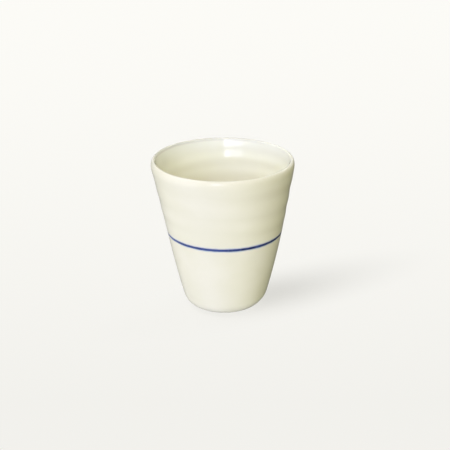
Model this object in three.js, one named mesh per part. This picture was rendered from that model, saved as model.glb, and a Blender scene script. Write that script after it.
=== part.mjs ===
// Hand-thrown porcelain cup: a turned clay body, a glaze coat inside, outside and under the foot,
// and one cobalt line let into the outside glaze.
// Millimetres, +Z up. The cup stands on z = 0 with its axis on Z.
import * as THREE from "three";

// Outside form, over the glaze. The half axes are those of the elliptic roundings.
const RIM_DIAMETER = 80;
const CUP_HEIGHT = 88;
const HEEL_DIAMETER = 49.6; // where the heel's rounding would stand upright
const HEEL_REACH = 9; // half axis of the heel across
const HEEL_RISE = 11.4; // half axis of the heel upwards
const HEEL_FLARE = 15.3; // wall's lean where it leaves the heel, degrees from upright
const LIP_FLARE = 11.6; // wall's lean where it meets the lip, degrees from upright
const LIP_OUTER_REACH = 1.5; // half axes of the lip's outer rounding
const LIP_OUTER_DROP = 3.2;

// Inside form, over the glaze
const LIP_INNER_REACH = 1; // half axes of the lip's inner rounding
const LIP_INNER_DROP = 1.8;
const WALL_AT_HEEL = 3.6; // wall thickness, level, at the top of the inside corner
const FLOOR_HEIGHT = 6.5; // inside floor above the table
const FLOOR_CORNER = 11; // radius between the floor and the wall

// Foot ring, turned out of the clay and left bare
const FOOT_DIAMETER = 30;
const FOOT_RING_WIDTH = 3.5;
const FOOT_CLEARANCE = 1; // lowest point of the heel above the table
const FOOT_RECESS = 2; // depth of the recess inside the ring, up to its glaze
const FOOT_CHAMFER = 0.3; // softened edges of the ring
const FOOT_BARE = 0.3; // bare margin between the ring and the glazes beside it

// Coats
const GLAZE = 0.45;
const GLAZE_SEAT = 0.05; // clearance between a coat and what it lies on
const LINE_HEIGHT = 46.2; // middle of the line above the table
const LINE_WIDTH = 1.5;
const LINE_DEPTH = 0.12;

// Steps round the axis and along each stretch of the outline
const TURN_STEPS = 56;
const HEEL_STEPS = 6;
const HALF_WALL_STEPS = 3; // below the line, and again above it
const LIP_STEPS = 5;
const CORNER_STEPS = 5;

const WALL_STEPS = 2 * HALF_WALL_STEPS;
const UNDER_GLAZE = GLAZE + GLAZE_SEAT; // the clay's surface below the finished one
const CROWN_RADIUS = RIM_DIAMETER / 2 - LIP_OUTER_REACH;
const FOOT_RADIUS = FOOT_DIAMETER / 2;
const RECESS_RADIUS = FOOT_RADIUS - FOOT_RING_WIDTH;
const HEEL_SLOPE = Math.tan(THREE.MathUtils.degToRad(HEEL_FLARE));
const LIP_SLOPE = Math.tan(THREE.MathUtils.degToRad(LIP_FLARE));

// Finishes
const bareClay = () => new THREE.MeshStandardMaterial({ color: 0xe9e4d6, roughness: 0.75, metalness: 0 });
const ivoryGlaze = () => new THREE.MeshStandardMaterial({ color: 0xeeebd9, roughness: 0.16, metalness: 0 });
const cobaltBlue = () => new THREE.MeshStandardMaterial({ color: 0x4b5c8c, roughness: 0.22, metalness: 0 });

const at = (radius, height) => new THREE.Vector2(radius, height);

// A stretch of an ellipse in the outline's plane, counter-clockwise from one angle to another.
function arc(centre, across, up, from, to) {
  return new THREE.EllipseCurve(centre.x, centre.y, across, up, from, to);
}

// The wall between two points of the outline: a cubic that leaves and arrives at the given leans.
function wallCurve(low, high) {
  const third = (high.y - low.y) / 3;
  const lowHandle = at(low.x + third * HEEL_SLOPE, low.y + third);
  const highHandle = at(high.x - third * LIP_SLOPE, high.y - third);
  return new THREE.CubicBezierCurve(low, lowHandle, highHandle, high);
}

// The wall's share of the way up that lies at a height: its heights go evenly.
const shareAt = (wall, height) => (height - wall.v0.y) / (wall.v3.y - wall.v0.y);

// Points of a curve between two shares of its length, ends included.
function stretch(curve, steps, from = 0, to = 1) {
  return Array.from({ length: steps + 1 }, (_, i) => curve.getPoint(from + ((to - from) * i) / steps));
}

// The outside at a depth below its finished surface: heel, wall and lip, going up.
// The heel starts at a radius beside the foot, and the lip stops short of the crown by a gap.
function outsideCurves(depth, startRadius, crownGap) {
  const heelCentre = at(HEEL_DIAMETER / 2 - HEEL_REACH, FOOT_CLEARANCE + HEEL_RISE);
  const heelReach = HEEL_REACH - depth;
  const heelRise = HEEL_RISE - depth;
  const heelStart = -Math.acos((startRadius - heelCentre.x) / heelReach);
  const heelEnd = -Math.atan((HEEL_SLOPE * heelRise) / heelReach);
  const heel = arc(heelCentre, heelReach, heelRise, heelStart, heelEnd);

  const lipCentre = at(CROWN_RADIUS, CUP_HEIGHT - LIP_OUTER_DROP);
  const lipReach = LIP_OUTER_REACH - depth;
  const lipDrop = LIP_OUTER_DROP - depth;
  const lipStart = -Math.atan((LIP_SLOPE * lipDrop) / lipReach);
  const lipEnd = Math.acos(crownGap / lipReach);
  const lip = arc(lipCentre, lipReach, lipDrop, lipStart, lipEnd);

  return { heel, wall: wallCurve(heel.getPoint(1), lip.getPoint(0)), lip };
}

const finishedWall = outsideCurves(0, FOOT_RADIUS, 0).wall;
const outsideRadius = (height) => finishedWall.getPoint(shareAt(finishedWall, height)).x;

// The outline of the outside, from the heel to the crown.
function outsideOutline(depth, startRadius, crownGap) {
  const { heel, wall, lip } = outsideCurves(depth, startRadius, crownGap);
  return [
    ...stretch(heel, HEEL_STEPS),
    ...stretch(wall, WALL_STEPS).slice(1),
    ...stretch(lip, LIP_STEPS).slice(1),
  ];
}

// The outline of the inside at a depth below its finished surface, from the axis up to the crown.
function insideOutline(depth, crownGap) {
  const flare = Math.atan(HEEL_SLOPE);
  const cornerTop = FLOOR_HEIGHT + FLOOR_CORNER * (1 - Math.sin(flare));
  const cornerRadius = outsideRadius(cornerTop) - WALL_AT_HEEL - FLOOR_CORNER * Math.cos(flare);
  const cornerCentre = at(cornerRadius, FLOOR_HEIGHT + FLOOR_CORNER);
  const bend = FLOOR_CORNER + depth;
  const corner = arc(cornerCentre, bend, bend, -Math.PI / 2, -flare);

  const lipCentre = at(CROWN_RADIUS, CUP_HEIGHT - LIP_INNER_DROP);
  const lipReach = LIP_INNER_REACH - depth;
  const lipDrop = LIP_INNER_DROP - depth;
  const lipStart = Math.PI - Math.acos(crownGap / lipReach);
  const lipEnd = Math.PI - Math.atan((LIP_SLOPE * lipDrop) / lipReach);
  const lip = arc(lipCentre, lipReach, lipDrop, lipStart, lipEnd);

  const wall = wallCurve(corner.getPoint(1), lip.getPoint(1));
  return [
    at(0, FLOOR_HEIGHT - depth),
    ...stretch(corner, CORNER_STEPS),
    ...stretch(wall, WALL_STEPS).slice(1),
    ...stretch(lip, LIP_STEPS).reverse().slice(1),
  ];
}

// Revolves an outline about the cup's axis. It starts and ends on the axis, or is closed here.
function turned(name, outline, material) {
  const onAxis = outline[0].x === 0;
  const profile = onAxis ? outline : [...outline, outline[0].clone()];
  const mesh = new THREE.Mesh(new THREE.LatheGeometry(profile, TURN_STEPS), material);
  mesh.name = name;
  return mesh;
}

// Bare porcelain: recess, foot ring, outside, lip and inside.
function clayBody() {
  const roof = FOOT_RECESS + UNDER_GLAZE;
  const foot = [
    at(0, roof),
    at(RECESS_RADIUS, roof),
    at(RECESS_RADIUS, FOOT_CHAMFER),
    at(RECESS_RADIUS + FOOT_CHAMFER, 0),
    at(FOOT_RADIUS - FOOT_CHAMFER, 0),
    at(FOOT_RADIUS, FOOT_CHAMFER),
  ];
  const outside = outsideOutline(UNDER_GLAZE, FOOT_RADIUS, 0);
  const inside = insideOutline(UNDER_GLAZE, 0).reverse().slice(1);
  return turned("clay_body", [...foot, ...outside, ...inside], bareClay());
}

// Glaze poured inside, up to the seam on the crown of the lip.
function linerGlaze() {
  const under = insideOutline(GLAZE, GLAZE_SEAT / 2);
  const finished = insideOutline(0, GLAZE_SEAT / 2).reverse();
  return turned("liner_glaze", [...under, ...finished], ivoryGlaze());
}

// Glaze dipped outside, from the foot's bare margin to the seam, with the groove for the line.
function outerGlaze() {
  const startRadius = FOOT_RADIUS + FOOT_BARE;
  const { heel, wall, lip } = outsideCurves(0, startRadius, GLAZE_SEAT / 2);
  const halfGroove = LINE_WIDTH / 2 + GLAZE_SEAT;
  const grooveDepth = LINE_DEPTH + GLAZE_SEAT;
  const below = stretch(wall, HALF_WALL_STEPS, 0, shareAt(wall, LINE_HEIGHT - halfGroove));
  const above = stretch(wall, HALF_WALL_STEPS, shareAt(wall, LINE_HEIGHT + halfGroove), 1);
  const finished = [
    ...stretch(heel, HEEL_STEPS),
    ...below.slice(1),
    at(below.at(-1).x - grooveDepth, below.at(-1).y),
    at(above[0].x - grooveDepth, above[0].y),
    ...above,
    ...stretch(lip, LIP_STEPS).slice(1),
  ];
  const under = outsideOutline(GLAZE, startRadius, GLAZE_SEAT / 2).reverse();
  return turned("outer_glaze", [...finished, ...under], ivoryGlaze());
}

// Patch of glaze on the roof of the recess inside the foot ring.
function baseGlaze() {
  const radius = RECESS_RADIUS - FOOT_BARE;
  const patch = [
    at(0, FOOT_RECESS),
    at(radius - GLAZE / 2, FOOT_RECESS),
    at(radius, FOOT_RECESS + GLAZE / 2),
    at(radius, FOOT_RECESS + GLAZE),
    at(0, FOOT_RECESS + GLAZE),
  ];
  return turned("base_glaze", patch, ivoryGlaze());
}

// Ring of cobalt, flush with the outside glaze that it is let into.
function cobaltLine() {
  const low = LINE_HEIGHT - LINE_WIDTH / 2;
  const high = LINE_HEIGHT + LINE_WIDTH / 2;
  const section = [
    at(outsideRadius(low) - LINE_DEPTH, low),
    at(outsideRadius(low), low),
    at(outsideRadius(high), high),
    at(outsideRadius(high) - LINE_DEPTH, high),
  ];
  return turned("cobalt_line", section, cobaltBlue());
}

// Lathe outlines turn about Y, so the whole cup is tipped up onto +Z.
const wheel = new THREE.Group();
wheel.rotation.x = Math.PI / 2;
wheel.add(clayBody(), linerGlaze(), outerGlaze(), baseGlaze(), cobaltLine());

const cup = new THREE.Group();
cup.add(wheel);

export default cup;
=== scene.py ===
import math

import bmesh
import bpy
from mathutils import Matrix, Vector, noise


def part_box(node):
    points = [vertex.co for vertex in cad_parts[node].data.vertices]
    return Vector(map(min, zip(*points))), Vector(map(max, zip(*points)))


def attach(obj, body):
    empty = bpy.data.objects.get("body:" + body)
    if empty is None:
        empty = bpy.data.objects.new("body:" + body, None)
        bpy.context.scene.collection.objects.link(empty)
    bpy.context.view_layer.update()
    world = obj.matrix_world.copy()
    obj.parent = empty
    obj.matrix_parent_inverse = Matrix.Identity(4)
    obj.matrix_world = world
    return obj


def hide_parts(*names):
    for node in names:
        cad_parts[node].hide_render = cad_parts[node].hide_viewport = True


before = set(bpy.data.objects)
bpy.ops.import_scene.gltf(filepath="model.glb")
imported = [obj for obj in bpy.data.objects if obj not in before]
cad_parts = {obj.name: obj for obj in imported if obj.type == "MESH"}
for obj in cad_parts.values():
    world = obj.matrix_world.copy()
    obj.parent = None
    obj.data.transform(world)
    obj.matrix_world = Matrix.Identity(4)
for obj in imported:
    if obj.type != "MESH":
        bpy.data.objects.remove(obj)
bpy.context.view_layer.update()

# Sizes taken from the frame
LINE_LOW, LINE_HIGH = (corner.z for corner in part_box("cobalt_line"))
LINE_HEIGHT = (LINE_LOW + LINE_HIGH) / 2
CUP_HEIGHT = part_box("outer_glaze")[1].z
RECESS_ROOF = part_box("base_glaze")[0].z
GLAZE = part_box("base_glaze")[1].z - RECESS_ROOF
PATCH_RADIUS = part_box("base_glaze")[1].x

# Outside form, over the glaze. The half axes are those of the elliptic roundings.
RIM_RADIUS = 0.040
HEEL_RADIUS = 0.0248
HEEL_REACH = 0.009
HEEL_RISE = 0.0114
HEEL_SLOPE = math.tan(math.radians(15.3))
LIP_SLOPE = math.tan(math.radians(11.6))
LIP_OUTER_REACH = 0.0015
LIP_OUTER_DROP = 0.0032

# Inside form, over the glaze
LIP_INNER_REACH = 0.001
LIP_INNER_DROP = 0.0018
WALL_AT_HEEL = 0.0036
FLOOR_HEIGHT = 0.0065
FLOOR_CORNER = 0.011

# Foot ring
FOOT_RADIUS = 0.015
FOOT_RING_WIDTH = 0.0035
FOOT_CLEARANCE = 0.001
FOOT_ROUNDING = 0.0003
FOOT_BARE = 0.0003

# Coats
COAT_SEAT = 0.00005
LINE_DEPTH = 0.00012
SEAM_GAP = 0.000002

# Marks of the hand. A span of four heights says where a mark starts, is full, fades and ends.
RIM_LEAN = -0.00105  # sideways shift of the rim, along X
RIM_LEAN_SPAN = (LINE_HEIGHT - 0.01, CUP_HEIGHT + 0.01)  # heights between which it grows
HEEL_SHIFT = -0.0004  # sideways shift of the heel, along X
HEEL_SHIFT_SPAN = (0, 0.002, 0.003, 0.009)
OUTER_RING_DEPTH = 0.00009
OUTER_RING_SIDES = (0.7, 1.4)  # share of that depth on the left and on the right
OUTER_RING_TURN = (-0.5, 0.9)  # cosines of the angle from +X between which that share grows
OUTER_RING_TOP = 0.085  # height of the first ring outside, at the front
OUTER_RINGS_PER_METRE = 68.9  # at that height
OUTER_RINGS_CLOSING = 520  # how much closer they lie further down
OUTER_RING_SPAN = (LINE_HEIGHT, 0.058, 0.083, 0.087)
INNER_RING_DEPTH = 0.00006
INNER_RING_TOP = 0.0865  # height of the first ring inside, at the back
INNER_RING_PITCH = 0.00825
INNER_RING_SPAN = (0.018, 0.030, 0.083, 0.0875)
RING_WANDER = 0.6  # share by which the depth of a ring wanders along it
RING_WANDERS_PER_METRE = 40
INNER_SWELL = 0.0004  # extra thickness of the wall inside, below the lip
INNER_SWELL_SPAN = (0.018, 0.040, 0.074, CUP_HEIGHT)

# Steps along the outlines and round the axis
TURN_STEPS = 240
HEEL_STEPS = 24
WALL_STEPS = 56
LIP_STEPS = 16
CORNER_STEPS = 20
FOOT_STEPS = 6
PATCH_STEPS = 10
LINE_STEPS = 6

MERGE_DISTANCE = 1e-7
SHARP_ANGLE = math.radians(40)  # edges that bend more than this stay sharp

CROWN_RADIUS = RIM_RADIUS - LIP_OUTER_REACH
RECESS_RADIUS = FOOT_RADIUS - FOOT_RING_WIDTH
CLAY_DEPTH = GLAZE + COAT_SEAT


# Outlines, as points (radius, height)

def arc(centre, across, up, start, end, steps):
    """Points of an ellipse from one angle to another, ends included."""
    angles = [start + (end - start) * i / steps for i in range(steps + 1)]
    return [(centre[0] + across * math.cos(a), centre[1] + up * math.sin(a)) for a in angles]


def wall_radius(low, high, height):
    """Radius of the wall between two points: a cubic that leaves and arrives at the two leans."""
    rise = high[1] - low[1]
    share = (height - low[1]) / rise
    rest = 1 - share
    low_handle = low[0] + rise / 3 * HEEL_SLOPE
    high_handle = high[0] - rise / 3 * LIP_SLOPE
    return (
        rest ** 3 * low[0]
        + 3 * rest ** 2 * share * low_handle
        + 3 * rest * share ** 2 * high_handle
        + share ** 3 * high[0]
    )


def wall(low, high, start, end, steps):
    """Points of the wall between two heights, ends included."""
    heights = [start + (end - start) * i / steps for i in range(steps + 1)]
    return [(wall_radius(low, high, height), height) for height in heights]


def outside_ends(depth, start_radius, crown_gap):
    """The heel and the lip of the outside, at a depth below its finished surface."""
    heel_centre = (HEEL_RADIUS - HEEL_REACH, FOOT_CLEARANCE + HEEL_RISE)
    reach = HEEL_REACH - depth
    rise = HEEL_RISE - depth
    heel_start = -math.acos((start_radius - heel_centre[0]) / reach)
    heel_end = -math.atan(HEEL_SLOPE * rise / reach)
    heel = arc(heel_centre, reach, rise, heel_start, heel_end, HEEL_STEPS)

    lip_centre = (CROWN_RADIUS, CUP_HEIGHT - LIP_OUTER_DROP)
    lip_reach = LIP_OUTER_REACH - depth
    lip_drop = LIP_OUTER_DROP - depth
    lip_start = -math.atan(LIP_SLOPE * lip_drop / lip_reach)
    lip_end = math.acos(crown_gap / lip_reach)
    lip = arc(lip_centre, lip_reach, lip_drop, lip_start, lip_end, LIP_STEPS)
    return heel, lip


def outside(depth, start_radius, crown_gap):
    """Outline of the outside from the heel to the crown of the lip."""
    heel, lip = outside_ends(depth, start_radius, crown_gap)
    between = wall(heel[-1], lip[0], heel[-1][1], lip[0][1], WALL_STEPS)
    return heel + between[1:] + lip[1:]


FINISHED_HEEL, FINISHED_LIP = outside_ends(0, FOOT_RADIUS, 0)


def finished_radius(height):
    """Radius of the finished outside wall at a height."""
    return wall_radius(FINISHED_HEEL[-1], FINISHED_LIP[0], height)


def inside(depth, crown_gap):
    """Outline of the inside from the axis up to the crown of the lip."""
    flare = math.atan(HEEL_SLOPE)
    corner_top = FLOOR_HEIGHT + FLOOR_CORNER * (1 - math.sin(flare))
    corner_radius = finished_radius(corner_top) - WALL_AT_HEEL - FLOOR_CORNER * math.cos(flare)
    corner_centre = (corner_radius, FLOOR_HEIGHT + FLOOR_CORNER)
    bend = FLOOR_CORNER + depth
    corner = arc(corner_centre, bend, bend, -math.pi / 2, -flare, CORNER_STEPS)

    lip_centre = (CROWN_RADIUS, CUP_HEIGHT - LIP_INNER_DROP)
    reach = LIP_INNER_REACH - depth
    drop = LIP_INNER_DROP - depth
    lip_start = math.pi - math.atan(LIP_SLOPE * drop / reach)
    lip_end = math.pi - math.acos(crown_gap / reach)
    lip = arc(lip_centre, reach, drop, lip_start, lip_end, LIP_STEPS)

    between = wall(corner[-1], lip[0], corner[-1][1], lip[0][1], WALL_STEPS)
    floor = [(corner_radius * i / CORNER_STEPS, FLOOR_HEIGHT - depth) for i in range(CORNER_STEPS)]
    return floor + corner + between[1:] + lip[1:]


# The hand-made form

def fade(value, start, end):
    """Smooth step from 0 at start to 1 at end."""
    share = min(max((value - start) / (end - start), 0), 1)
    return share * share * (3 - 2 * share)


def rise_and_fall(value, start, full, fading, end):
    """Smooth step up from 0 at start to 1 at full, and down again from fading to end."""
    return fade(value, start, full) * (1 - fade(value, fading, end))


def is_outside(point):
    """Whether a point of the wall lies nearer the outside than the inside."""
    radius = math.hypot(point.x, point.y)
    return radius > finished_radius(point.z) - WALL_AT_HEEL / 2


def ring_phase(point):
    """How far round the spiral ridges a point lies, in radians, counted down from the first one."""
    turn = math.atan2(point.y, point.x)
    if is_outside(point):
        below = OUTER_RING_TOP - point.z
        rings = OUTER_RINGS_PER_METRE * below + OUTER_RINGS_CLOSING * below * abs(below)
        return 2 * math.pi * rings - (turn + math.pi / 2)
    rings = (INNER_RING_TOP - point.z) / INNER_RING_PITCH
    return 2 * math.pi * rings - (turn - math.pi / 2)


def ring_share(point):
    """How strongly the ridges show at a point, from 0 to 1."""
    span = OUTER_RING_SPAN if is_outside(point) else INNER_RING_SPAN
    return rise_and_fall(point.z, *span)


def ridge_hang_and_shade(point):
    """Share of glaze that hangs under the ridge above a point, from 0 to 1; its tone is also painted
    shade of the ridges.
    """
    return ring_share(point) * (0.5 - 0.5 * math.cos(ring_phase(point)))


def outer_ring_depth(turn):
    """Depth of the ridges outside at an angle from +X: they are deeper on the right."""
    left, right = OUTER_RING_SIDES
    return OUTER_RING_DEPTH * (left + (right - left) * fade(math.cos(turn), *OUTER_RING_TURN))


def hand_shaped(point):
    """Moves a point of the true turned form to where the potter's hands left it."""
    turn = math.atan2(point.y, point.x)
    wander = 1 + RING_WANDER * noise.noise(point * RING_WANDERS_PER_METRE)
    wave = ring_share(point) * math.sin(ring_phase(point)) * wander
    if is_outside(point):
        reach = outer_ring_depth(turn) * wave
    else:
        reach = -INNER_RING_DEPTH * wave - INNER_SWELL * rise_and_fall(point.z, *INNER_SWELL_SPAN)
    outward = Vector((math.cos(turn), math.sin(turn), 0))

    lean = RIM_LEAN * fade(point.z, *RIM_LEAN_SPAN)
    heel = HEEL_SHIFT * rise_and_fall(point.z, *HEEL_SHIFT_SPAN)
    return point + outward * reach + Vector((lean + heel, 0, 0))


# Turning

def turned(name, outline, finish, closed=False):
    """Spins an outline about the cup's axis and joins it into one smooth piece."""
    bm = bmesh.new()
    points = [bm.verts.new((radius, 0, height)) for radius, height in outline]
    edges = [bm.edges.new(pair) for pair in zip(points, points[1:])]
    if closed:
        edges.append(bm.edges.new((points[-1], points[0])))
    bmesh.ops.spin(
        bm, geom=points + edges, cent=(0, 0, 0), axis=(0, 0, 1),
        angle=2 * math.pi, steps=TURN_STEPS, use_merge=True,
    )
    bmesh.ops.remove_doubles(bm, verts=bm.verts, dist=MERGE_DISTANCE)
    hang_and_shade = bm.verts.layers.float.new("ridge_hang_and_shade")
    for vert in bm.verts:
        vert[hang_and_shade] = ridge_hang_and_shade(vert.co)
        vert.co = hand_shaped(vert.co)
    bmesh.ops.recalc_face_normals(bm, faces=bm.faces)
    for face in bm.faces:
        face.smooth = True
    mesh = bpy.data.meshes.new(name)
    bm.to_mesh(mesh)
    bm.free()
    mesh.set_sharp_from_angle(angle=SHARP_ANGLE)
    mesh.materials.append(finish)
    piece = bpy.data.objects.new(name, mesh)
    bpy.context.scene.collection.objects.link(piece)
    return piece


def stand_for(piece, node):
    """Puts a finished piece in the place of its solid."""
    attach(piece, "root")
    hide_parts(node)


# Pieces

def clay_body(finish):
    """Thrown and turned porcelain, with the bare foot ring."""
    roof = RECESS_ROOF + CLAY_DEPTH
    inner_edge = (RECESS_RADIUS + FOOT_ROUNDING, FOOT_ROUNDING)
    outer_edge = (FOOT_RADIUS - FOOT_ROUNDING, FOOT_ROUNDING)
    foot = [(0, roof), (RECESS_RADIUS / 2, roof), (RECESS_RADIUS, roof)]
    foot += arc(inner_edge, FOOT_ROUNDING, FOOT_ROUNDING, math.pi, 1.5 * math.pi, FOOT_STEPS)
    foot += arc(outer_edge, FOOT_ROUNDING, FOOT_ROUNDING, -math.pi / 2, 0, FOOT_STEPS)
    outline = foot + outside(CLAY_DEPTH, FOOT_RADIUS, 0) + inside(CLAY_DEPTH, 0)[::-1][1:]
    return turned("thrown_clay_body", outline, finish)


def liner_glaze(finish):
    """Coat poured inside, up to the seam on the crown."""
    outline = inside(GLAZE, SEAM_GAP) + inside(0, SEAM_GAP)[::-1]
    return turned("liner_glaze_coat", outline, finish)


def outer_glaze(finish):
    """Coat dipped outside, with the groove that the line lies in."""
    start_radius = FOOT_RADIUS + FOOT_BARE
    heel, lip = outside_ends(0, start_radius, SEAM_GAP)
    groove_low = LINE_LOW - SEAM_GAP
    groove_high = LINE_HIGH + SEAM_GAP
    below = wall(heel[-1], lip[0], heel[-1][1], groove_low, WALL_STEPS // 2)
    above = wall(heel[-1], lip[0], groove_high, lip[0][1], WALL_STEPS // 2)
    groove_depth = LINE_DEPTH + COAT_SEAT
    groove = [
        (below[-1][0] - groove_depth, groove_low),
        (above[0][0] - groove_depth, groove_high),
    ]
    finished = heel + below[1:] + groove + above + lip[1:]
    outline = finished + outside(GLAZE, start_radius, SEAM_GAP)[::-1]
    return turned("outer_glaze_coat", outline, finish, closed=True)


def base_glaze(finish):
    """Patch of glaze on the roof of the recess in the foot, thinning out at its edge."""
    top = RECESS_ROOF + GLAZE
    edge_centre = (PATCH_RADIUS - GLAZE, top)
    edge = arc(edge_centre, GLAZE, GLAZE, -math.pi / 2, 0, PATCH_STEPS)
    outline = [(0, RECESS_ROOF), (PATCH_RADIUS / 2, RECESS_ROOF)] + edge + [(0, top)]
    return turned("base_glaze_patch", outline, finish)


def cobalt_line(finish):
    """Ring of cobalt, flush with the glaze round it."""
    heights = [LINE_LOW + (LINE_HIGH - LINE_LOW) * i / LINE_STEPS for i in range(LINE_STEPS + 1)]
    front = [(finished_radius(height), height) for height in heights]
    back = [(radius - LINE_DEPTH, height) for radius, height in front[::-1]]
    return turned("cobalt_line_ring", front + back, finish, closed=True)


# Shader nodes

def add_node(tree, kind, settings=None, **inputs):
    """Adds a shader node, and sets or links its inputs by name, or by number as _0, _1 and so on."""
    node = tree.nodes.new("ShaderNode" + kind)
    for name, value in (settings or {}).items():
        setattr(node, name, value)
    for name, value in inputs.items():
        key = int(name[1:]) if name[0] == "_" else name.replace("_", " ")
        socket = node.inputs[key]
        if isinstance(value, bpy.types.NodeSocket):
            tree.links.new(value, socket)
        else:
            socket.default_value = value
    return node


def maths(tree, operation, first, second=0.0):
    """One sum on two values or sockets."""
    return add_node(tree, "Math", {"operation": operation}, _0=first, _1=second).outputs[0]


def spread(tree, value, span, low=0.0, high=1.0):
    """A value moved smoothly from its span to the range from low to high, and held there."""
    settings = {"interpolation_type": "SMOOTHSTEP"}
    ends = dict(From_Min=span[0], From_Max=span[1], To_Min=low, To_Max=high)
    return add_node(tree, "MapRange", settings, Value=value, **ends).outputs[0]


def cloud(tree, place, per_metre, detail=2.0, roughness=0.5):
    """Soft noise from 0 to 1, so many clouds to the metre."""
    noise_node = add_node(
        tree, "TexNoise", None, Vector=place, Scale=per_metre, Detail=detail, Roughness=roughness
    )
    return noise_node.outputs["Fac"]


def stretched(tree, place, scale):
    """The piece's coordinates, stretched along each axis."""
    return add_node(tree, "Mapping", None, Vector=place, Scale=scale).outputs[0]


def along(tree, place, direction):
    """How far a place lies along a direction."""
    settings = {"operation": "DOT_PRODUCT"}
    return add_node(tree, "VectorMath", settings, _0=place, _1=direction).outputs["Value"]


def length(tree, place):
    """How far a place lies from the origin."""
    return add_node(tree, "VectorMath", {"operation": "LENGTH"}, _0=place).outputs["Value"]


def blended(tree, share, first, second):
    """A colour between two colours."""
    mix = add_node(tree, "Mix", {"data_type": "RGBA"}, _0=share)
    for socket, colour in ((mix.inputs[6], first), (mix.inputs[7], second)):
        if isinstance(colour, bpy.types.NodeSocket):
            tree.links.new(colour, socket)
        else:
            socket.default_value = (*colour, 1)
    return mix.outputs[2]


def raised(tree, height, distance, under=None):
    """Surface relief from a height, over another relief if one is given."""
    bump = add_node(tree, "Bump", None, Height=height, Distance=distance, Strength=1.0)
    if under is not None:
        tree.links.new(under, bump.inputs["Normal"])
    return bump.outputs["Normal"]


def new_finish(name):
    """A material with its shader and the piece's own coordinates."""
    material = bpy.data.materials.new(name)
    material.use_nodes = True
    tree = material.node_tree
    shader = tree.nodes["Principled BSDF"]
    place = tree.nodes.new("ShaderNodeTexCoord").outputs["Object"]
    return material, tree, shader, place


NOISE_MIDDLE = (0.3, 0.7)  # values that most of a cloud lies between
GLAZE_IOR = 1.5


# Ivory glaze

IVORY = (0.872, 0.852, 0.700)
IVORY_DEEP = (0.842, 0.824, 0.656)
# Tones of the level bands: partly thicker glaze under the ridges, partly painted shade of the ridges
IVORY_BANDS_POOL_AND_SHADE = (0.838, 0.820, 0.652)
IVORY_BANDS_DEEP_POOL_AND_SHADE = (0.805, 0.780, 0.615)
# Painted shade deeper inside the cup
IVORY_LOW_PAINTED_SHADE = (0.845, 0.795, 0.610)
# Painted shade on the inside wall below the rim
IVORY_RIM_PAINTED_SHADE = (0.800, 0.790, 0.675)
# Painted shade on the lip, on its left and back
IVORY_LIP_PAINTED_SHADE = (0.69, 0.67, 0.575)
IVORY_ROUGHNESS = (0.03, 0.07)
DRIFTS_PER_METRE = 38
DRIFT_NOISE = (0.35, 0.68)
STREAKS_PER_METRE = (14, 14, 110)
STREAK_NOISE = (0.3, 0.65)
FAINTEST_STREAK = 0.25
BANDS_SHADE_TO_RIGHT = (0, 0.030)  # places along X between which the bands outside deepen, painted shade on the side away from the light
SPECK = (0.36, 0.32, 0.24)
SPECK_CELLS_PER_METRE = 110
SPECK_SHUFFLE = 7.0  # spreads the cells' colours into chances
SPECKED_SHARE = 0.2  # share of the cells that hold a speck
SPECK_EDGE = (0.014, 0.034)  # in cells, where a speck starts to fade and ends
SPECK_STRENGTH = 0.7
GLOSS_PATCHES_PER_METRE = 160
RIPPLES_PER_METRE = 130
RIPPLE_HEIGHT = 0.000012
PORES_PER_METRE = 1400
PORE_HEIGHT = 0.000001

# The poured coat's painted shades: heights between which they come in, and their full shares
LOW_SHADE_SPAN = (0.056, 0.076)
LOW_SHADE_SHARE = 0.8
RIM_SHADE_SPAN = (0.076, 0.0868)
RIM_SHADE_SHARE = 0.8
SHADED_LIP_HEIGHTS = (0.0860, 0.0872)
LIP_SHADE_SIDE = (-0.6, 0.8, 0)  # way to the side of the lip that the painted shade lies on, to the left and the back
LIP_SHADE_SPAN = (0, 0.024)  # how far that way the painted shade grows to its full share

# Cobalt that has bled into the glaze beside the line
COBALT_BLEED = (0.42, 0.49, 0.66)
BLEED_REACH = (0.0007, 0.0018)  # distances from the middle of the line where it fades
BLEED_SHARE = 0.9
BLEED_CLOUDS_PER_METRE = 240
FAINTEST_BLEED = 0.4
BLEED_SHADE_SIDES = (-0.030, 0.026)  # places along X between which it grows stronger, painted shade towards the shaded right
BLEED_SHADE_SHARES = (0.8, 1.2)


def ivory_colour(tree, place, band_tone):
    """Ivory that drifts in tone, with level bands (glaze lying thicker under the ridges, and painted
    shade of the ridges) and a few iron specks.
    """
    drift = spread(tree, cloud(tree, place, DRIFTS_PER_METRE, 3), DRIFT_NOISE)
    colour = blended(tree, drift, IVORY, IVORY_DEEP)

    # Level bands: partly glaze lying thicker under the ridges, partly painted shade in step with the
    # ridges' slopes
    hang_and_shade = add_node(tree, "Attribute", {"attribute_name": "ridge_hang_and_shade"}).outputs["Fac"]
    streaks = cloud(tree, stretched(tree, place, STREAKS_PER_METRE), 1.0, 3)
    bands = maths(tree, "MULTIPLY", hang_and_shade, spread(tree, streaks, STREAK_NOISE, FAINTEST_STREAK))
    colour = blended(tree, bands, colour, band_tone)

    cells = add_node(tree, "TexVoronoi", None, Vector=place, Scale=SPECK_CELLS_PER_METRE)
    chance = maths(tree, "FRACT", maths(tree, "MULTIPLY", cells.outputs["Color"], SPECK_SHUFFLE))
    specked = maths(tree, "GREATER_THAN", chance, 1 - SPECKED_SHARE)
    dots = spread(tree, cells.outputs["Distance"], SPECK_EDGE, SPECK_STRENGTH, 0)
    return blended(tree, maths(tree, "MULTIPLY", dots, specked), colour, SPECK)


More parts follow.
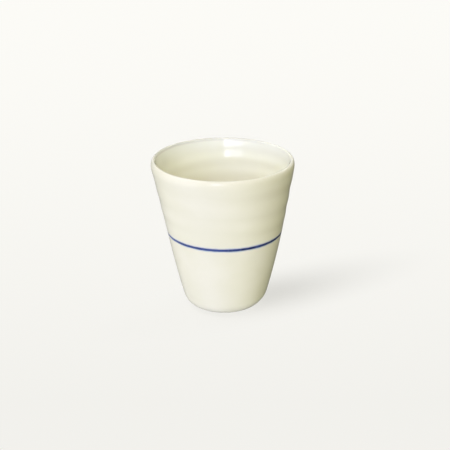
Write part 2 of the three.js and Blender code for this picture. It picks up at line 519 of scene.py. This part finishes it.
def painted_inside_shade(tree, place, colour):
    """Painted shade inside: deeper and warmer lower in the cup, greyer below the rim, and greyer on the
    lip towards the left and the back.
    """
    height = along(tree, place, (0, 0, 1))
    colour = blended(tree, spread(tree, height, LOW_SHADE_SPAN, LOW_SHADE_SHARE, 0), colour, IVORY_LOW_PAINTED_SHADE)
    colour = blended(tree, spread(tree, height, RIM_SHADE_SPAN, 0, RIM_SHADE_SHARE), colour, IVORY_RIM_PAINTED_SHADE)
    on_lip = spread(tree, height, SHADED_LIP_HEIGHTS)
    # Painted shade on the lip, towards the left and the back
    lip_shade = spread(tree, along(tree, place, LIP_SHADE_SIDE), LIP_SHADE_SPAN)
    return blended(tree, maths(tree, "MULTIPLY", on_lip, lip_shade), colour, IVORY_LIP_PAINTED_SHADE)


def from_line(tree, place):
    """Distance up or down from the middle of the cobalt line."""
    height = along(tree, place, (0, 0, 1))
    return maths(tree, "ABSOLUTE", maths(tree, "SUBTRACT", height, LINE_HEIGHT))


def breath_of_blue(tree, place, colour):
    """Cobalt that has bled a little way into the glaze above and below the line, stronger towards the
    right as painted shade.
    """
    bleed = spread(tree, from_line(tree, place), BLEED_REACH, BLEED_SHARE, 0)
    patches = cloud(tree, place, BLEED_CLOUDS_PER_METRE, 3)
    bleed = maths(tree, "MULTIPLY", bleed, spread(tree, patches, NOISE_MIDDLE, FAINTEST_BLEED))
    # Stronger bleed towards the right: painted shade
    shade_sides = spread(tree, along(tree, place, (1, 0, 0)), BLEED_SHADE_SIDES, *BLEED_SHADE_SHARES)
    return blended(tree, maths(tree, "MULTIPLY", bleed, shade_sides), colour, COBALT_BLEED)


def ivory_glaze(name, near_line=False, poured=False):
    """Glossy ivory glaze, for the dipped coat beside the line, the poured coat or the base."""
    material, tree, shader, place = new_finish(name)
    if poured:
        colour = painted_inside_shade(tree, place, ivory_colour(tree, place, IVORY_BANDS_DEEP_POOL_AND_SHADE))
    else:
        # The bands outside deepen towards the right: painted shade on the side away from the light
        shade_to_right = spread(tree, along(tree, place, (1, 0, 0)), BANDS_SHADE_TO_RIGHT)
        band_tone = blended(tree, shade_to_right, IVORY_BANDS_POOL_AND_SHADE, IVORY_BANDS_DEEP_POOL_AND_SHADE)
        colour = ivory_colour(tree, place, band_tone)
    if near_line:
        colour = breath_of_blue(tree, place, colour)
    tree.links.new(colour, shader.inputs["Base Color"])
    gloss = spread(tree, cloud(tree, place, GLOSS_PATCHES_PER_METRE, 4), NOISE_MIDDLE, *IVORY_ROUGHNESS)
    tree.links.new(gloss, shader.inputs["Roughness"])
    shader.inputs["IOR"].default_value = GLAZE_IOR
    ripple = raised(tree, cloud(tree, place, RIPPLES_PER_METRE, 1), RIPPLE_HEIGHT)
    pores = raised(tree, cloud(tree, place, PORES_PER_METRE, 2), PORE_HEIGHT, ripple)
    tree.links.new(pores, shader.inputs["Normal"])
    return material


# Cobalt

COBALT = (0.042, 0.075, 0.270)
COBALT_THICK_AND_SHADED = (0.030, 0.044, 0.130)
COBALT_THIN_AND_LIT = (0.14, 0.21, 0.45)
COBALT_ROUGHNESS = (0.14, 0.26)
LOADS_PER_METRE = 95  # stretches of a full or an empty brush
LOAD_NOISE = (0.3, 0.6)
GAPS_PER_METRE = 330
GAP_NOISE = (0.56, 0.72)
GAP_SHARE = 0.75
GAP_HEIGHT = 0.00002
LIT_LEFT_SPAN = (-0.034, 0.014)  # places along X between which the lighter tone fades out, painted light on the lit left
LIT_LEFT_SHARE = 0.3
SHADED_RIGHT_SPAN = (0.010, 0.026)  # places along X between which the denser tone comes in, painted shade on the shaded right
SHADED_RIGHT_SHARE = 0.8
BRISTLES_PER_METRE = 520
BRISTLE_REACH = 0.0001
FEATHER = 0.0003  # width over which the line's edge fades


def cobalt_blue(name):
    """Brushed cobalt: denser and thinner along its length, lighter on the left as painted light and
    denser on the right as painted shade, feathered at both edges.
    """
    material, tree, shader, place = new_finish(name)
    load = spread(tree, cloud(tree, place, LOADS_PER_METRE, 3), LOAD_NOISE)
    colour = blended(tree, load, COBALT_THICK_AND_SHADED, COBALT)
    gaps = cloud(tree, place, GAPS_PER_METRE, 3)
    colour = blended(tree, spread(tree, gaps, GAP_NOISE, 0, GAP_SHARE), colour, COBALT_THIN_AND_LIT)
    across = along(tree, place, (1, 0, 0))
    # Painted light on the left of the line, painted shade on its right
    colour = blended(tree, spread(tree, across, LIT_LEFT_SPAN, LIT_LEFT_SHARE, 0), colour, COBALT_THIN_AND_LIT)
    colour = blended(tree, spread(tree, across, SHADED_RIGHT_SPAN, 0, SHADED_RIGHT_SHARE), colour, COBALT_THICK_AND_SHADED)

    bristles = cloud(tree, place, BRISTLES_PER_METRE, 2)
    raggedness = spread(tree, bristles, NOISE_MIDDLE, -BRISTLE_REACH, BRISTLE_REACH)
    ragged = maths(tree, "ADD", from_line(tree, place), raggedness)
    half_line = (LINE_HIGH - LINE_LOW) / 2
    colour = blended(tree, spread(tree, ragged, (half_line, half_line + FEATHER)), colour, IVORY_BANDS_POOL_AND_SHADE)
    tree.links.new(colour, shader.inputs["Base Color"])
    gloss = spread(tree, gaps, NOISE_MIDDLE, *COBALT_ROUGHNESS)
    tree.links.new(gloss, shader.inputs["Roughness"])
    shader.inputs["IOR"].default_value = GLAZE_IOR
    tree.links.new(raised(tree, gaps, GAP_HEIGHT), shader.inputs["Normal"])
    return material


# Bare porcelain

BISCUIT = (0.80, 0.765, 0.665)
BISCUIT_WARM = (0.74, 0.67, 0.53)
BISCUIT_ROUGHNESS = (0.62, 0.85)
TURNING_PITCH = 0.0005
TURNING_HEIGHT = 0.00001
GRAINS_PER_METRE = 1500
GRAIN_COARSENESS = 0.6
GRAIN_NOISE = (0.35, 0.75)
GRAIN_SHARE = 0.35
GRAIN_HEIGHT = 0.00003
FLASHES_PER_METRE = 120
FLASH_NOISE = (0.45, 0.7)
FLASH_SHARE = 0.6


def bare_porcelain(name):
    """Unglazed porcelain: dry fine grain, turning rings, warmer where the kiln has flashed it."""
    material, tree, shader, place = new_finish(name)
    radius = length(tree, stretched(tree, place, (1, 1, 0)))
    rings = maths(tree, "SINE", maths(tree, "MULTIPLY", radius, 2 * math.pi / TURNING_PITCH))
    grain = cloud(tree, place, GRAINS_PER_METRE, 4, GRAIN_COARSENESS)
    flash = spread(tree, cloud(tree, place, FLASHES_PER_METRE, 2), FLASH_NOISE, 0, FLASH_SHARE)
    colour = blended(tree, flash, BISCUIT, BISCUIT_WARM)
    colour = blended(tree, spread(tree, grain, GRAIN_NOISE, 0, GRAIN_SHARE), colour, BISCUIT_WARM)
    tree.links.new(colour, shader.inputs["Base Color"])
    dryness = spread(tree, grain, NOISE_MIDDLE, *BISCUIT_ROUGHNESS)
    tree.links.new(dryness, shader.inputs["Roughness"])
    turned_rings = raised(tree, rings, TURNING_HEIGHT)
    tree.links.new(raised(tree, grain, GRAIN_HEIGHT, turned_rings), shader.inputs["Normal"])
    return material


# Floor

FLOOR_HALF_WIDTH = 6
FLOOR_NEAR = -0.11  # depth up to which the floor has its near tone
FLOOR_FADE = 0.33  # depth over which most of the change to the far tone happens
FLOOR_NEAR_TONE = (0.888, 0.880, 0.843)
FLOOR_FAR_TONE = (0.978, 0.969, 0.930)
FLOOR_SHADE = 0.25  # most of the floor's brightness that the shadow can take away
SHADOW_PLACE = (0.032, 0.0125, 0)  # middle of the soft patch of floor that takes the shadow
SHADOW_REACH = (0.130, 0.036)
SHADOW_TURN = math.radians(29)


def pale_paper():
    """Pale paper, a little lighter away from the camera, that takes shade only in the soft patch."""
    material = bpy.data.materials.new("pale_paper")
    material.use_nodes = True
    tree = material.node_tree
    tree.nodes.clear()
    place = tree.nodes.new("ShaderNodeTexCoord").outputs["Object"]
    nearer = maths(tree, "SUBTRACT", FLOOR_NEAR, along(tree, place, (0, 1, 0)))
    near_share = maths(tree, "EXPONENT", maths(tree, "DIVIDE", nearer, FLOOR_FADE))
    paper = blended(tree, near_share, FLOOR_FAR_TONE, FLOOR_NEAR_TONE)
    patch = add_node(
        tree, "Mapping", {"vector_type": "TEXTURE"}, Vector=place,
        Location=SHADOW_PLACE, Rotation=(0, 0, SHADOW_TURN), Scale=(*SHADOW_REACH, 1),
    )
    shade_share = spread(tree, length(tree, patch.outputs[0]), (0, 1), FLOOR_SHADE, 0)
    glow = add_node(tree, "Emission", None, Color=paper)
    shade = add_node(tree, "BsdfDiffuse", None, Color=paper)
    both = add_node(tree, "MixShader", None, _0=shade_share, _1=glow.outputs[0], _2=shade.outputs[0])
    add_node(tree, "OutputMaterial", None, Surface=both.outputs[0])
    return material


def pale_floor():
    """Wide plain floor. It takes the cup's shadow and gives the cup no light of its own."""
    bm = bmesh.new()
    bmesh.ops.create_grid(bm, x_segments=1, y_segments=1, size=FLOOR_HALF_WIDTH)
    mesh = bpy.data.meshes.new("pale_floor")
    bm.to_mesh(mesh)
    bm.free()
    floor = bpy.data.objects.new("pale_floor", mesh)
    bpy.context.scene.collection.objects.link(floor)
    mesh.materials.append(pale_paper())
    floor.visible_diffuse = False
    floor.visible_glossy = False
    floor.visible_shadow = False
    return floor


# Camera

CAMERA_DISTANCE = 0.6
CAMERA_ELEVATION = math.radians(22.48)
CAMERA_TILT_DOWN = math.radians(22.13)
CAMERA_TURN_RIGHT = math.radians(0.013)
CAMERA_ROLL = math.radians(-0.37)
CAMERA_LENS = 84  # millimetres, on a sensor 36 wide
CAMERA_SENSOR = 36
CAMERA_CLIP_START = 0.01


def photo_camera():
    """Camera at the photograph's angle: its place, its tilt down and its slight roll."""
    data = bpy.data.cameras.new("photo_camera")
    data.sensor_width = CAMERA_SENSOR
    data.lens = CAMERA_LENS
    data.clip_start = CAMERA_CLIP_START
    camera = bpy.data.objects.new("photo_camera", data)
    bpy.context.scene.collection.objects.link(camera)
    back = CAMERA_DISTANCE * math.cos(CAMERA_ELEVATION)
    up = CUP_HEIGHT / 2 + CAMERA_DISTANCE * math.sin(CAMERA_ELEVATION)
    heading = Matrix.Rotation(-CAMERA_TURN_RIGHT, 4, "Z")
    pitch = Matrix.Rotation(math.pi / 2 - CAMERA_TILT_DOWN, 4, "X")
    roll = Matrix.Rotation(CAMERA_ROLL, 4, "Z")
    camera.matrix_world = Matrix.Translation((0, -back, up)) @ heading @ pitch @ roll
    bpy.context.scene.camera = camera


# Light. Azimuths are degrees to the left of the camera, elevations degrees above the floor.

LAMP_DISTANCE = 2.0
SOFTBOX_SIZE = 1.2
KEY_SIZE = 2.0

# Softboxes: name, azimuth, elevation, and strength in red, green and blue
KEY_SOFTBOX = ("key_softbox", 66, 62, (1.06, 1.06, 1.06))
OUTSIDE_SOFTBOXES = (
    ("front_fill", 8, 15, (0.11, 0.11, 0.15)),
    ("front_low_fill", 8, -15, (0.24, 0.24, 0.26)),
    ("left_low_fill", 30, -15, (0.34, 0.34, 0.40)),
    ("left_floor_bounce", 38, -50, (0.34, 0.35, 0.39)),
    ("left_side_fill", 95, 15, (0.38, 0.37, 0.30)),
    ("right_low_fill", -70, 0, (0.15, 0.14, 0.00)),
    ("right_high_fill", -40, 40, (0.39, 0.38, 0.33)),
    ("top_fill", 60, 80, (0.62, 0.61, 0.73)),
    ("rear_fill", 180, 5, (0.60, 0.60, 0.62)),
)
INSIDE_SOFTBOXES = (
    ("inside_right_fill", -40, 15, (0.51, 0.51, 0.43)),
    ("inside_front_fill", 8, 15, (0.18, 0.20, 0.30)),
    ("inside_left_fill", 30, 15, (0.16, 0.18, 0.37)),
    ("inside_left_high_fill", 30, 40, (0.43, 0.44, 0.49)),
    ("inside_left_side_fill", 95, 40, (0.38, 0.37, 0.31)),
    ("inside_top_fill", 0, 85, (0.33, 0.32, 0.22)),
)

# Panes: name, azimuths of the right and left edge, elevations of the low and high edge, and brightness
OUTSIDE_PANES = (
    ("outside_window", 2.5, 17, 7.5, 29, (4.4, 4.5, 6.4)),
)
INSIDE_PANES = (
    ("near_pane", 2.5, 13, 7.5, 29, (6.0, 6.1, 7.4)),
    ("far_pane", 13.5, 36, 7.3, 9.4, (4.6, 4.7, 6.2)),
    ("far_high_pane", 13.5, 36, 9.5, 29, (2.0, 2.0, 2.9)),
    ("window_sill", 2.5, 36, 2, 7.2, (0.45, 0.45, 0.85)),
)
ROOM_PANES = (
    ("pale_backdrop", 120, 240, 0, 110, (0.85, 0.85, 0.82)),
    ("floor_behind", 110, 180, -42, 0, (0.35, 0.35, 0.33)),
    ("shaded_floor_behind", 180, 250, -42, 0, (0.12, 0.12, 0.11)),
)

# What comes back from the room
BOUNCE_AZIMUTH = 90
BOUNCE_ELEVATION = -50
BOUNCE_FOCUS = 2.0  # how fast the bounce fades away from its direction
BOUNCE_TONE = (0.21, 0.21, 0.19)
ROOM_IN_GLOSS = (0.1, 0.1, 0.1)


def towards(azimuth, elevation):
    """Direction from the cup."""
    a = math.radians(azimuth)
    e = math.radians(elevation)
    return Vector((-math.sin(a) * math.cos(e), -math.cos(a) * math.cos(e), math.sin(e)))


def area_lamp(name, azimuth, elevation, width, height, lit):
    """Flat lamp aimed at the cup, for the pieces that it lights."""
    data = bpy.data.lights.new(name, "AREA")
    data.shape = "RECTANGLE"
    data.size = width
    data.size_y = height
    lamp = bpy.data.objects.new(name, data)
    bpy.context.scene.collection.objects.link(lamp)
    direction = towards(azimuth, elevation)
    lamp.location = Vector((0, 0, CUP_HEIGHT / 2)) + direction * LAMP_DISTANCE
    lamp.rotation_mode = "QUATERNION"
    lamp.rotation_quaternion = direction.to_track_quat("Z", "Y")
    lamp.visible_camera = False
    reach = bpy.data.collections.new(name + "_reach")
    for piece in lit:
        reach.objects.link(piece)
    lamp.light_linking.receiver_collection = reach
    return lamp


def softbox(name, azimuth, elevation, strength, lit, size=SOFTBOX_SIZE):
    """Soft light that shades the pieces and doesn't show in the gloss."""
    lamp = area_lamp(name, azimuth, elevation, size, size, lit)
    lamp.data.color = strength
    lamp.data.energy = (math.pi * LAMP_DISTANCE) ** 2
    lamp.visible_glossy = False


def window_pane(name, right, left, low, high, brightness, lit):
    """Bright pane that shows in the gloss and doesn't shade the pieces."""
    width = 2 * LAMP_DISTANCE * math.tan(math.radians(left - right) / 2)
    height = 2 * LAMP_DISTANCE * math.tan(math.radians(high - low) / 2)
    lamp = area_lamp(name, (right + left) / 2, (low + high) / 2, width, height, lit)
    lamp.data.color = brightness
    lamp.data.energy = math.pi * width * height
    lamp.visible_diffuse = False


def soft_room():
    """The room: a bounce from the low left, a dim tone in the gloss, a pale one behind the floor."""
    world = bpy.data.worlds.new("soft_room")
    world.use_nodes = True
    tree = world.node_tree
    tree.nodes.clear()
    direction = tree.nodes.new("ShaderNodeTexCoord").outputs["Generated"]
    nearness = along(tree, direction, towards(BOUNCE_AZIMUTH, BOUNCE_ELEVATION))
    power = maths(tree, "MULTIPLY", maths(tree, "SUBTRACT", nearness, 1.0), BOUNCE_FOCUS)
    bounce = maths(tree, "EXPONENT", power)
    lit = add_node(tree, "Background", None, Color=(*BOUNCE_TONE, 1), Strength=bounce)
    mirrored = add_node(tree, "Background", None, Color=(*ROOM_IN_GLOSS, 1))
    seen = add_node(tree, "Background", None, Color=(*FLOOR_FAR_TONE, 1))
    path = tree.nodes.new("ShaderNodeLightPath").outputs
    room = add_node(
        tree, "MixShader", None, _0=path["Is Glossy Ray"], _1=lit.outputs[0], _2=mirrored.outputs[0]
    )
    both = add_node(
        tree, "MixShader", None, _0=path["Is Camera Ray"], _1=room.outputs[0], _2=seen.outputs[0]
    )
    add_node(tree, "OutputWorld", None, Surface=both.outputs[0])
    bpy.context.scene.world = world


def studio(outside_pieces, inside_piece, floor):
    """Softboxes for the floor, the outside and the inside, a window with a sill, and a backdrop."""
    soft_room()
    softbox(*KEY_SOFTBOX, [floor], size=KEY_SIZE)
    for box in OUTSIDE_SOFTBOXES:
        softbox(*box, outside_pieces)
    for box in INSIDE_SOFTBOXES:
        softbox(*box, [inside_piece])
    for pane in OUTSIDE_PANES:
        window_pane(*pane, outside_pieces)
    for pane in INSIDE_PANES:
        window_pane(*pane, [inside_piece])
    for pane in ROOM_PANES:
        window_pane(*pane, [*outside_pieces, inside_piece])


photo_camera()
floor = pale_floor()
body = clay_body(bare_porcelain("bare_porcelain"))
liner = liner_glaze(ivory_glaze("liner_ivory", poured=True))
outer = outer_glaze(ivory_glaze("outer_ivory", near_line=True))
patch = base_glaze(ivory_glaze("base_ivory"))
line = cobalt_line(cobalt_blue("cobalt_blue"))
stand_for(body, "clay_body")
stand_for(liner, "liner_glaze")
stand_for(outer, "outer_glaze")
stand_for(patch, "base_glaze")
stand_for(line, "cobalt_line")
studio([body, outer, patch, line], liner, floor)

bpy.context.scene.view_settings.view_transform = "Standard"
